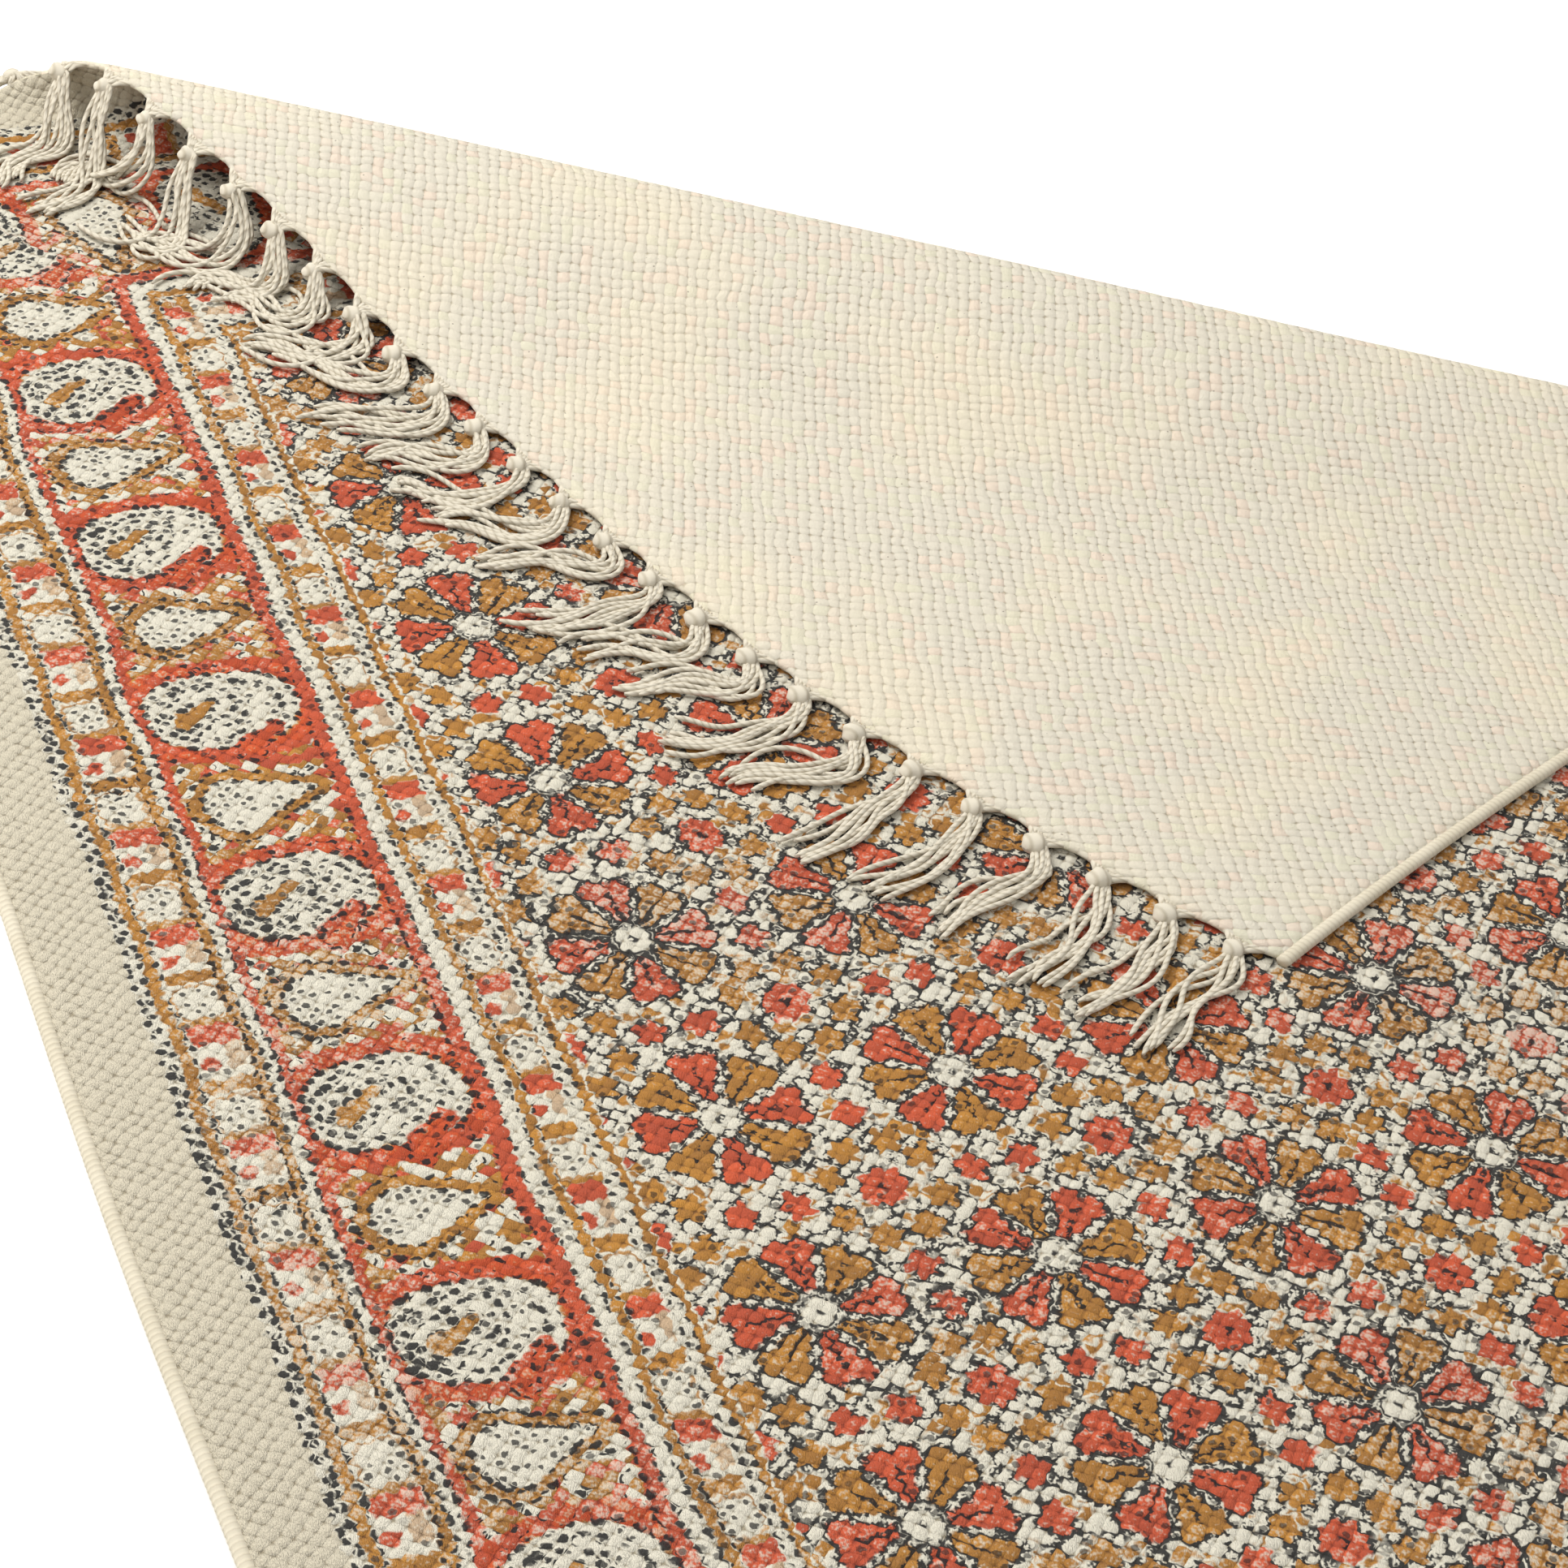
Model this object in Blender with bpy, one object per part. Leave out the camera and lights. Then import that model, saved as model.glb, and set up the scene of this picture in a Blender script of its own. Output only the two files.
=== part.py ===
"""A handwoven cotton rug with knotted fringes, lying flat with its far right corner folded over.

The cloth is one sheet. Its own flat plane has u across from the left selvedge and v along from the near
end, and fold() carries a point of that plane to where it lies in space. The two ends carry a row of
knotted tassels, which are built as extensions of the same sheet.
Metres, +Z up, the origin under the middle of the rug, Y along its length.
"""
import math

import bmesh
import bpy
from mathutils import Vector

WIDTH = 0.900
LENGTH = 1.500
THICKNESS = 0.004
LAYER_GAP = 0.0006
SEAT_GAP = 0.0003

# The crease leaves the far end here and runs down to the right selvedge.
CREASE_START = 0.144
CREASE_ANGLE = math.radians(32.9)
# The bend is a roll that narrows from the far end to the selvedge, and the flap falls from it.
BEND_RADIUS_END = 0.0183
BEND_RADIUS_SIDE = 0.0107
FALL_END = 0.116
FALL_SIDE = 0.149
CREASE_RUN = (WIDTH - CREASE_START) / math.cos(CREASE_ANGLE)

# The end of the flap bows outward, mostly near its free edge.
EDGE_BOW = 0.0198
EDGE_SWAY = 0.0129
BOW_FADE = 0.223
BOW_START = 0.053

# The selvedges wander a little along the rug: two waves, in radians for each metre, and their starts.
SELVEDGE_SWAY = 0.0022
SWAY_REACH = 0.120
LONG_WAVE, LONG_START = 7.1, 0.6
SHORT_WAVE, SHORT_START = 15.3, 2.0
SHORT_SHARE = 0.6

# Spacing of the lines that the sheet is cut along before it is folded.
BEND_CUTS = 6
FALL_CUTS = 6
FLAP_CUT = 0.100
FLAT_CUT = 0.160
LENGTHWISE_CUT = 0.060

TASSELS = 30
PITCH = WIDTH / TASSELS
STRIP_DEPTH = 0.002
STRIP_THICKNESS = 0.003
STRIP_END = 0.003
LOCKS = 3

# Sections of a tassel's head: distance from the strip, width, thickness.
HEAD = (
    (0.0035, 0.0050, 0.0034),
    (0.0060, 0.0086, 0.0068),
    (0.0125, 0.0078, 0.0060),
)
# Sections of its locks: distance, width and thickness of one lock, spread between locks.
LOCK = (
    (0.0240, 0.0030, 0.0026, 0.0038),
    (0.0460, 0.0030, 0.0024, 0.0048),
    (0.0720, 0.0024, 0.0020, 0.0058),
)
DROP_BASE = 0.014
DROP_PER_HEIGHT = 0.9

# Groups of tassels: node name, first and last tassel, edge (+1 far, -1 near), pieces of strip between two.
# The far end's groups are short where its strip bends or slopes.
FRINGES = (
    ("fringe_far", 0, 2, +1, 1),
    ("fringe_fold_low", 3, 4, +1, 6),
    ("fringe_fold_top", 5, 5, +1, 6),
    ("fringe_fold_back", 6, 6, +1, 6),
    ("fringe_flap_high", 7, 9, +1, 1),
    ("fringe_flap_mid", 10, 12, +1, 1),
    ("fringe_flap_low", 13, 29, +1, 1),
    ("fringe_near", 0, 29, -1, 1),
)
# The tassel at the top of the bend leans back over the far end, clear of its neighbours.
BEND_TASSEL = 4
BEND_LEAN = math.radians(-32.0)
FLAP_FIRST = 6
LEAN_AT_FOLD = math.radians(22.0)
LEAN_FADE = 8.0
LEAN_REST = math.radians(5.0)
LEAN_WAVE = math.radians(1.5)

STEP = 1.0e-5
COURSE_STEP = 0.002


def crease_frame(u, v):
    """Distance along the crease from the far end, and distance across it towards the corner."""
    along = (u - CREASE_START) * math.cos(CREASE_ANGLE) - (v - LENGTH) * math.sin(CREASE_ANGLE)
    across = (u - CREASE_START) * math.sin(CREASE_ANGLE) + (v - LENGTH) * math.cos(CREASE_ANGLE)
    return along, across


def bend_radius(along):
    share = min(max(along / CREASE_RUN, 0.0), 1.0)
    return BEND_RADIUS_END + (BEND_RADIUS_SIDE - BEND_RADIUS_END) * share


def edge_bow(u, v, past_bend):
    """Outward shift of the flap's free end, largest at its middle."""
    run = min(max((WIDTH - u) / (WIDTH - CREASE_START), 0.0), 1.0)
    bow = EDGE_BOW * 4 * run * (1 - run) + EDGE_SWAY * math.sin(2 * math.pi * run)
    return bow * math.exp(-max(LENGTH - v, 0.0) / BOW_FADE) * min(past_bend / BOW_START, 1.0)


def selvedge_shift(u, v):
    wave = math.sin(LONG_WAVE * v + LONG_START)
    wave += SHORT_SHARE * math.sin(SHORT_WAVE * v + SHORT_START)
    left = max(1 - abs(u) / SWAY_REACH, 0.0)
    right = max(1 - abs(WIDTH - u) / SWAY_REACH, 0.0)
    return SELVEDGE_SWAY * wave * (right - left)


def middle(u, v):
    """Middle of the cloth's thickness at (u, v), after folding."""
    along, across = crease_frame(u + selvedge_shift(u, v), v)
    radius = bend_radius(along)
    arc = across + math.pi * radius / 2
    low = THICKNESS / 2
    rest = THICKNESS + LAYER_GAP + THICKNESS / 2
    past = max(arc - math.pi * radius, 0.0)
    if arc <= 0:
        reach, height = across, low
    elif past == 0:
        reach = radius * math.sin(arc / radius) - math.pi * radius / 2
        height = low + radius * (1 - math.cos(arc / radius))
    else:
        share = min(max(along / CREASE_RUN, 0.0), 1.0)
        fall_length = FALL_END + (FALL_SIDE - FALL_END) * share
        fall = 0.5 * (1 + math.cos(math.pi * min(past / fall_length, 1.0)))
        reach = -math.pi * radius / 2 - past
        height = rest + (low + 2 * radius - rest) * fall
    cos, sin = math.cos(CREASE_ANGLE), math.sin(CREASE_ANGLE)
    x = CREASE_START + along * cos + reach * sin
    y = LENGTH - along * sin + reach * cos
    bow = edge_bow(u, v, past)
    x -= bow * math.sin(2 * CREASE_ANGLE)
    y -= bow * math.cos(2 * CREASE_ANGLE)
    return Vector((x - WIDTH / 2, y - LENGTH / 2, height))


def cloth_axes(u, v):
    """The cloth's own across, along and face directions at (u, v)."""
    across = (middle(u + STEP, v) - middle(u - STEP, v)).normalized()
    along = (middle(u, v + STEP) - middle(u, v - STEP)).normalized()
    face = across.cross(along).normalized()
    return across, along, face


def fold(u, v, lift):
    """A point of the cloth in space, lifted from its middle towards the printed face."""
    return middle(u, v) + cloth_axes(u, v)[2] * lift


def flat_faces():
    """The unfolded sheet, cut along and across the crease so that each strip can bend."""
    sheet = bmesh.new()
    corners = ((0, 0), (WIDTH, 0), (WIDTH, LENGTH), (0, LENGTH))
    sheet.faces.new([sheet.verts.new((u, v, 0)) for u, v in corners])
    crease = Vector((math.cos(CREASE_ANGLE), -math.sin(CREASE_ANGLE), 0))
    outward = Vector((math.sin(CREASE_ANGLE), math.cos(CREASE_ANGLE), 0))
    start = Vector((CREASE_START, LENGTH, 0))
    bend = math.pi * BEND_RADIUS_END / 2
    across = [bend * k / BEND_CUTS for k in range(-BEND_CUTS, BEND_CUTS + 1)]
    across += [bend + FALL_SIDE * k / FALL_CUTS for k in range(1, FALL_CUTS + 1)]
    flap_edge = (WIDTH - CREASE_START) * math.sin(CREASE_ANGLE)
    past_fall = bend + FALL_SIDE + FLAP_CUT
    while past_fall < flap_edge:
        across.append(past_fall)
        past_fall += FLAP_CUT
    diagonal = math.hypot(WIDTH, LENGTH)
    across += [-bend - FLAT_CUT * k for k in range(1, int(diagonal / FLAT_CUT))]
    reach = int(diagonal / LENGTHWISE_CUT)
    cuts = [(start + outward * distance, outward) for distance in across]
    cuts += [(start + crease * (LENGTHWISE_CUT * k), crease) for k in range(-reach, reach)]
    for point, normal in cuts:
        parts = sheet.verts[:] + sheet.edges[:] + sheet.faces[:]
        bmesh.ops.bisect_plane(sheet, geom=parts, dist=1.0e-6, plane_co=point, plane_no=normal)
    bmesh.ops.triangulate(sheet, faces=sheet.faces[:])
    sheet.verts.index_update()
    return sheet


def sheet_mesh():
    """The folded sheet as one closed body of even thickness."""
    flat = flat_faces()
    body = bmesh.new()
    half = THICKNESS / 2
    upper = [body.verts.new(fold(vert.co.x, vert.co.y, half)) for vert in flat.verts]
    lower = [body.verts.new(fold(vert.co.x, vert.co.y, -half)) for vert in flat.verts]
    for face in flat.faces:
        ring = [vert.index for vert in face.verts]
        body.faces.new([upper[k] for k in ring])
        body.faces.new([lower[k] for k in reversed(ring)])
    for edge in flat.edges:
        if edge.is_boundary:
            a, b = (vert.index for vert in edge.verts)
            body.faces.new((upper[a], upper[b], lower[b], lower[a]))
    flat.free()
    return body


def bridge(body, ring, points):
    """Walls from a ring of vertices to new points; returns the new ring."""
    fresh = [body.verts.new(point) for point in points]
    count = len(ring)
    for k in range(count):
        after = (k + 1) % count
        body.faces.new((ring[k], ring[after], fresh[after], fresh[k]))
    return fresh


def lean_of(tassel, side):
    wave = LEAN_WAVE * math.sin(2.4 * tassel)
    if side > 0 and tassel == BEND_TASSEL:
        return BEND_LEAN
    if side < 0 or tassel < FLAP_FIRST:
        return wave
    return LEAN_AT_FOLD * math.exp(-(tassel - FLAP_FIRST) / LEAN_FADE) + LEAN_REST + wave


def tassel_course(tassel, side):
    """Root, heading, sideways, edge and resting height of a tassel."""
    u = (tassel + 0.5) * PITCH
    v = LENGTH + SEAT_GAP + STRIP_DEPTH if side > 0 else -SEAT_GAP - STRIP_DEPTH
    root = middle(u, v)
    across, along, _ = cloth_axes(u, v)
    heading = Vector((along.x, along.y, 0)).normalized() * side
    lean = lean_of(tassel, side)
    heading = Vector((
        heading.x * math.cos(lean) - heading.y * math.sin(lean),
        heading.x * math.sin(lean) + heading.y * math.cos(lean),
        0,
    ))
    tip = root + heading * LOCK[-1][0]
    on_cloth = abs(tip.y) < LENGTH / 2
    return root, heading, across, side, (THICKNESS + SEAT_GAP if on_cloth else 0.0)


def centre_at(course, distance, thickness):
    """Centre of a tassel's section: it falls from its root and then lies on what is under it."""
    root, heading, _, _, ground = course
    seat = ground + thickness / 2
    drop = DROP_BASE + DROP_PER_HEIGHT * max(root.z - seat, 0.0)
    share = min(distance / drop, 1.0)
    fall = 1 - share * share * (3 - 2 * share)
    point = root + heading * distance
    point.z = max(seat + (root.z - seat) * fall, seat)
    return point


def section_axes(course, distance, thickness, level):
    """Sideways and upright directions of a section; level 0 follows the cloth, 1 lies flat."""
    _, heading, across, side, _ = course
    ahead = centre_at(course, distance + COURSE_STEP, thickness)
    behind = centre_at(course, distance - COURSE_STEP, thickness)
    sideways = across.copy()
    sideways.z *= 1 - level
    tangent = (ahead - behind).normalized()
    if level == 1:
        tangent = heading.copy()
    sideways = (sideways - tangent * sideways.dot(tangent)).normalized()
    return sideways, sideways.cross(tangent * side).normalized()


def section(course, distance, offsets, thickness, level):
    """Points of a section: its low side in order, then its high side back again."""
    centre = centre_at(course, distance, thickness)
    sideways, upright = section_axes(course, distance, thickness, level)
    low = [centre + sideways * shift - upright * (thickness / 2) for shift in offsets]
    high = [centre + sideways * shift + upright * (thickness / 2) for shift in offsets]
    return low + high[::-1]


def add_tassel(body, ring, tassel, side):
    """A neck and knot of full width, then locks that part from each other."""
    course = tassel_course(tassel, side)
    for k, (distance, width, thickness) in enumerate(HEAD):
        offsets = [width * (column / LOCKS - 0.5) for column in range(LOCKS + 1)]
        ring = bridge(body, ring, section(course, distance, offsets, thickness, k / len(HEAD)))
    top = len(ring) - 1
    for lock in range(LOCKS):
        strand = [ring[lock], ring[lock + 1], ring[top - lock - 1], ring[top - lock]]
        for distance, width, thickness, spread in LOCK:
            shift = (lock - (LOCKS - 1) / 2) * spread
            offsets = (shift - width / 2, shift + width / 2)
            strand = bridge(body, strand, section(course, distance, offsets, thickness, 1))
        body.faces.new(strand)


def strip_stations(first, last, pieces):
    """Places across the cloth where the strip has a section, and where each tassel's roots start."""
    root = HEAD[0][1] / LOCKS
    stations = [max(first * PITCH, STRIP_END) + SEAT_GAP / 2]
    starts = []
    for tassel in range(first, last + 1):
        centre = (tassel + 0.5) * PITCH
        columns = [centre + root * (column - LOCKS / 2) for column in range(LOCKS + 1)]
        gap = columns[0] - stations[-1]
        stations += [stations[-1] + gap * k / pieces for k in range(1, pieces)]
        starts.append(len(stations))
        stations += columns
    end = min((last + 1) * PITCH, WIDTH - STRIP_END) - SEAT_GAP / 2
    gap = end - stations[-1]
    stations += [stations[-1] + gap * k / pieces for k in range(1, pieces + 1)]
    return stations, starts


def fringe_mesh(first, last, side, pieces):
    """A narrow strip along the cloth's end, with a tassel grown from it at each root."""
    body = bmesh.new()
    near = LENGTH + SEAT_GAP if side > 0 else -SEAT_GAP
    out = near + side * STRIP_DEPTH
    half = STRIP_THICKNESS / 2
    stations, starts = strip_stations(first, last, pieces)
    rooted = {start + column for start in starts for column in range(LOCKS)}
    rails = [
        [body.verts.new(fold(u, v, lift)) for u in stations]
        for v, lift in ((near, -half), (near, half), (out, half), (out, -half))
    ]
    inner_low, inner_high, outer_high, outer_low = rails
    for k in range(len(stations) - 1):
        for rail_a, rail_b in ((inner_low, inner_high), (inner_high, outer_high), (outer_low, inner_low)):
            body.faces.new((rail_a[k], rail_a[k + 1], rail_b[k + 1], rail_b[k]))
        if k not in rooted:
            body.faces.new((outer_high[k], outer_high[k + 1], outer_low[k + 1], outer_low[k]))
    for k in (0, len(stations) - 1):
        body.faces.new([rail[k] for rail in rails])
    for start, tassel in zip(starts, range(first, last + 1)):
        low = outer_low[start:start + LOCKS + 1]
        high = outer_high[start:start + LOCKS + 1]
        add_tassel(body, low + high[::-1], tassel, side)
    return body


def cloth_material(name, colour, roughness):
    material = bpy.data.materials.new(name)
    material.use_nodes = True
    shader = material.node_tree.nodes["Principled BSDF"]
    shader.inputs["Base Color"].default_value = (*colour, 1.0)
    shader.inputs["Roughness"].default_value = roughness
    shader.inputs["Metallic"].default_value = 0.0
    return material


def add_object(name, body, material):
    bmesh.ops.recalc_face_normals(body, faces=body.faces[:])
    mesh = bpy.data.meshes.new(name)
    body.to_mesh(mesh)
    body.free()
    mesh.materials.append(material)
    piece = bpy.data.objects.new(name, mesh)
    bpy.context.collection.objects.link(piece)
    return piece


for leftover in list(bpy.data.objects):
    bpy.data.objects.remove(leftover)

cotton = cloth_material("printed_cotton", (0.66, 0.52, 0.38), 0.95)
yarn = cloth_material("fringe_yarn", (0.71, 0.66, 0.55), 0.95)
add_object("rug", sheet_mesh(), cotton)
for node, first_tassel, last_tassel, edge_side, strip_pieces in FRINGES:
    add_object(node, fringe_mesh(first_tassel, last_tassel, edge_side, strip_pieces), yarn)
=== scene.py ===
"""A handwoven, block-printed cotton rug with knotted fringes, one far corner folded over its face."""
import math

import bpy
import numpy as np
from mathutils import Matrix, Vector


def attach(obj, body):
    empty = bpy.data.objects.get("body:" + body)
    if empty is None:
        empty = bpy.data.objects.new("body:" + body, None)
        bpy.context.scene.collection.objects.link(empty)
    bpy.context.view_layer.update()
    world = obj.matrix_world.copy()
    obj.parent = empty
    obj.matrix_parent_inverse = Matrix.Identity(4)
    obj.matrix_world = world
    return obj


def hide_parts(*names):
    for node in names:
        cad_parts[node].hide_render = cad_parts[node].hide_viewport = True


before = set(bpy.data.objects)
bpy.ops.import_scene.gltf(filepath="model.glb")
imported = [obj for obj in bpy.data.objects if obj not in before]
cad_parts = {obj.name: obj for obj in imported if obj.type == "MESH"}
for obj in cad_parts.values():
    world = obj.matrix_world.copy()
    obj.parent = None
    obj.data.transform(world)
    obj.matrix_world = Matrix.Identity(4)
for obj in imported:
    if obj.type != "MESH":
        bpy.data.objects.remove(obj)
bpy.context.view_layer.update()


# The camera looks down on the folded corner from the near left, with a long lens, a little tilted.
# The floor is a plain pale sheet that runs on past the picture, under soft light from large panels.
CAMERA_PLACE = (-0.6717, -0.7782, 1.0047)
CAMERA_YAW = math.radians(28.13)
CAMERA_DOWN = math.radians(41.85)
CAMERA_ROLL = math.radians(9.30)
LENS = 86.96
CAMERA_REACH = 50.0
FLOOR_HALF = 40.0
FLOOR_DROP = 0.0002
FLOOR_CORNERS = ((-1, -1), (1, -1), (1, 1), (-1, 1))
FLOOR_COLOUR = (0.92, 0.92, 0.915)
FLOOR_ROUGHNESS = 0.9
PANELS = (
    # name, place, aims at, size, power, colour
    ("panel_over", (-1.1, 1.5, 2.2), (0.0, 0.1, 0.0), 1.4, 68.0, (1.0, 0.985, 0.96)),
    ("panel_left", (-2.3, -0.4, 1.9), (0.0, 0.1, 0.0), 1.8, 14.0, (1.0, 0.99, 0.975)),
    ("panel_right", (2.2, -0.6, 1.7), (0.0, 0.1, 0.0), 1.8, 9.0, (1.0, 0.99, 0.98)),
)
SKY_COLOUR = (1.0, 0.995, 0.985)
SKY_STRENGTH = 0.53


def aim(place, target):
    """Turn that points an object's -Z from place to target."""
    return (Vector(target) - Vector(place)).to_track_quat("-Z", "Y")


def principled(name, colour, roughness):
    """A new material with its colour and roughness; returns it with its shader node."""
    made = bpy.data.materials.new(name)
    made.use_nodes = True
    shader = made.node_tree.nodes["Principled BSDF"]
    shader.inputs["Base Color"].default_value = (*colour, 1.0)
    shader.inputs["Roughness"].default_value = roughness
    return made, shader


camera = bpy.data.objects.new("camera", bpy.data.cameras.new("camera"))
camera.data.lens = LENS
camera.data.clip_end = CAMERA_REACH
ahead = Vector((
    math.sin(CAMERA_YAW) * math.cos(CAMERA_DOWN),
    math.cos(CAMERA_YAW) * math.cos(CAMERA_DOWN),
    -math.sin(CAMERA_DOWN),
))
level = Vector((math.cos(CAMERA_YAW), -math.sin(CAMERA_YAW), 0.0))
above = level.cross(ahead)
picture_right = level * math.cos(CAMERA_ROLL) + above * math.sin(CAMERA_ROLL)
picture_up = above * math.cos(CAMERA_ROLL) - level * math.sin(CAMERA_ROLL)
turn = Matrix((picture_right, picture_up, -ahead)).transposed()
camera.matrix_world = Matrix.Translation(CAMERA_PLACE) @ turn.to_4x4()
bpy.context.scene.collection.objects.link(camera)
bpy.context.scene.camera = camera
bpy.context.scene.view_settings.view_transform = "Standard"

for name, place, target, size, power, colour in PANELS:
    panel = bpy.data.objects.new(name, bpy.data.lights.new(name, "AREA"))
    panel.data.size = size
    panel.data.energy = power
    panel.data.color = colour
    panel.location = place
    panel.rotation_euler = aim(place, target).to_euler()
    bpy.context.scene.collection.objects.link(panel)
sky = bpy.data.worlds.new("studio")
sky.use_nodes = True
sky.node_tree.nodes["Background"].inputs["Color"].default_value = (*SKY_COLOUR, 1.0)
sky.node_tree.nodes["Background"].inputs["Strength"].default_value = SKY_STRENGTH
bpy.context.scene.world = sky

floor_mesh = bpy.data.meshes.new("floor")
floor_mesh.from_pydata(
    [(x * FLOOR_HALF, y * FLOOR_HALF, -FLOOR_DROP) for x, y in FLOOR_CORNERS],
    [],
    [(0, 1, 2, 3)],
)
floor_mesh.materials.append(principled("floor_paint", FLOOR_COLOUR, FLOOR_ROUGHNESS)[0])
floor = bpy.data.objects.new("floor", floor_mesh)
bpy.context.scene.collection.objects.link(floor)


# The rug's body is one sheet of balanced plain weave in thick cotton yarn, 0.90 by 1.50 m when flat.
# u runs across it from the left selvedge and v along it from the near end. The far right corner is
# rolled over along a slanting crease and falls back onto the face, so that the plain back shows.
WIDTH = 0.900
LENGTH = 1.500
THICKNESS = 0.004
LAYER_GAP = 0.0006
CREASE_START = 0.144
CREASE_ANGLE = math.radians(32.9)
BEND_RADIUS_END = 0.0183
BEND_RADIUS_SIDE = 0.0107
FALL_END = 0.116
FALL_SIDE = 0.149
CREASE_RUN = (WIDTH - CREASE_START) / math.cos(CREASE_ANGLE)
# The flap's end bows and sways as it lies; this starts past the bend and fades away from the end.
EDGE_BOW = 0.0198
EDGE_SWAY = 0.0129
BOW_FADE = 0.223
BOW_START = 0.053
# The long sides sway in two waves, in radians for each metre, that fade out inside the cloth.
SELVEDGE_SWAY = 0.0022
SWAY_REACH = 0.120
LONG_WAVE, LONG_START = 7.1, 0.6
SHORT_WAVE, SHORT_START = 15.3, 2.0
SHORT_SHARE = 0.6
# The flap's end stands a little off the face below it, most between the first tassels past the bend.
EDGE_LIFT = 0.0105
LIFT_PLACE = 0.285
LIFT_SPREAD = 0.105
LIFT_FADE = 0.030
CELLS_ACROSS = 166
CELLS_ALONG = 276
TASSELS = 30
PITCH = WIDTH / TASSELS
# Between two tassels the end of the cloth draws back this far; the pull dies away inside the cloth.
END_PULL = 0.0019
END_PULL_FADE = 0.007
RIM_THINNING = 0.72
RIM_BULGE = 0.0009
# Slow rise and fall of the lying cloth: height, and waves in radians for each metre along x and y.
SWELL = 0.0007
SWELLS = ((9.0, 4.0, 0.3), (-5.0, 11.0, 1.9), (17.0, -9.0, 4.1))


def middle(u, v):
    """Where the middle of the cloth's thickness lies, for arrays of places on the flat cloth."""
    wave = np.sin(LONG_WAVE * v + LONG_START) + SHORT_SHARE * np.sin(SHORT_WAVE * v + SHORT_START)
    left = np.maximum(1 - np.abs(u) / SWAY_REACH, 0.0)
    right = np.maximum(1 - np.abs(WIDTH - u) / SWAY_REACH, 0.0)
    shifted = u + SELVEDGE_SWAY * wave * (right - left)

    # Along the crease and square to it, and how far round the bend or past it the cloth has run.
    cos, sin = math.cos(CREASE_ANGLE), math.sin(CREASE_ANGLE)
    along = (shifted - CREASE_START) * cos - (v - LENGTH) * sin
    across = (shifted - CREASE_START) * sin + (v - LENGTH) * cos
    share = np.clip(along / CREASE_RUN, 0.0, 1.0)
    radius = BEND_RADIUS_END + (BEND_RADIUS_SIDE - BEND_RADIUS_END) * share
    half_bend = math.pi * radius / 2
    arc = across + half_bend
    past = np.maximum(arc - 2 * half_bend, 0.0)
    turned = np.clip(arc / radius, 0.0, math.pi)
    on_bend = radius * np.sin(turned) - half_bend
    reach = np.where(arc <= 0, across, np.where(past > 0, -half_bend - past, on_bend))

    # It lies flat, rolls over the bend, then falls back until it rests on the face.
    low = THICKNESS / 2
    rest = THICKNESS + LAYER_GAP + low
    fall_length = FALL_END + (FALL_SIDE - FALL_END) * share
    fall = 0.5 * (1 + np.cos(math.pi * np.minimum(past / fall_length, 1.0)))
    rolled = low + radius * (1 - np.cos(turned))
    fallen = rest + (low + 2 * radius - rest) * fall
    height = np.where(arc <= 0, low, np.where(past > 0, fallen, rolled))
    lift = np.exp(-((u - LIFT_PLACE) / LIFT_SPREAD) ** 2 - np.maximum(LENGTH - v, 0.0) / LIFT_FADE)
    height = height + EDGE_LIFT * lift * np.minimum(past / BOW_START, 1.0) * (1 - fall)

    run = np.clip((WIDTH - u) / (WIDTH - CREASE_START), 0.0, 1.0)
    bow = EDGE_BOW * 4 * run * (1 - run) + EDGE_SWAY * np.sin(2 * math.pi * run)
    bow = bow * np.exp(-np.maximum(LENGTH - v, 0.0) / BOW_FADE) * np.minimum(past / BOW_START, 1.0)
    x = CREASE_START + along * cos + reach * sin - bow * math.sin(2 * CREASE_ANGLE) - WIDTH / 2
    y = LENGTH - along * sin + reach * cos - bow * math.cos(2 * CREASE_ANGLE) - LENGTH / 2
    return np.stack([x, y, height], axis=-1)


def unit(vectors):
    """Vectors brought to a length of 1."""
    return vectors / np.linalg.norm(vectors, axis=-1, keepdims=True)


def cloth_axes(u, v):
    """The cloth's own across, along and printed-face directions, for arrays of places."""
    step = 1.0e-4
    across = unit(middle(u + step, v) - middle(u - step, v))
    along = unit(middle(u, v + step) - middle(u, v - step))
    return across, along, unit(np.cross(across, along))


def swell(points):
    """The slow rise of whatever lies at these places, which the layers share."""
    total = sum(np.sin(a * points[..., 0] + b * points[..., 1] + start) for a, b, start in SWELLS)
    raised = points.copy()
    raised[..., 2] += SWELL * (1 + total / len(SWELLS))
    return raised


def fold(u, v, lift):
    """Places on the flat cloth carried to where they lie, lifted towards the printed face."""
    return middle(u, v) + cloth_axes(u, v)[2] * np.asarray(lift)[..., None]


def end_pull(u, v):
    """How far the cloth at each place is drawn towards the rug's middle between its tassels."""
    between = 1 - np.abs(np.cos(math.pi * (u / PITCH - 0.5)))
    far = np.exp(-(LENGTH - v) / END_PULL_FADE)
    near = np.exp(-v / END_PULL_FADE)
    return END_PULL * between * (near - far)


def add_piece(name, vertices, faces, material, replaced=()):
    """A smooth piece of the rug from its points and faces, riding on the rug's one body."""
    mesh = bpy.data.meshes.new(name)
    mesh.from_pydata([tuple(point) for point in vertices], [], faces)
    mesh.materials.append(material)
    mesh.shade_smooth()
    piece = bpy.data.objects.new(name, mesh)
    bpy.context.scene.collection.objects.link(piece)
    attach(piece, "root")
    if replaced:
        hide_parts(*replaced)
    return piece


def linear(red, green, blue):
    """A colour as the eye names it, 0 to 255, in the light values that a shader takes."""
    return tuple(((value / 255 + 0.055) / 1.055) ** 2.4 for value in (red, green, blue))


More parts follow.
